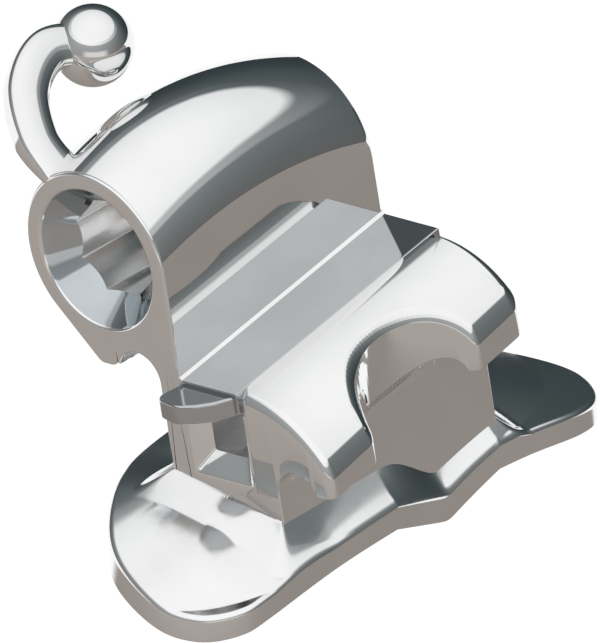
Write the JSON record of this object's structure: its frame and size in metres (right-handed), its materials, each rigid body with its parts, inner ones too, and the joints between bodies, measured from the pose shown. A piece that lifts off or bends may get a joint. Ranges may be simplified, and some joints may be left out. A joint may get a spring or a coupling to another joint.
{
  "type": "buccal tube",
  "caption": "Bondable orthodontic molar tube: round headgear tube, covered archwire slot, notched tie wing, ball hook and a curved bonding pad.",
  "frame": {"origin": "under the middle of the tube's length and of the pad's width, at the height of the pad's lowest tip", "axes": "+X from the mesial to the distal end along the headgear tube, +Z away from the tooth, +Y to the gingival side, where the tube and hook are"},
  "size_m": [0.0071, 0.006, 0.0053],
  "materials": {
    "cast_steel": "mirror-polished stainless steel casting",
    "strip_steel": "polished stainless steel strip"
  },
  "bodies": {
    "root": {"tube_body": "cast_steel", "slot_cover": "strip_steel"}
  },
  "joints": []
}
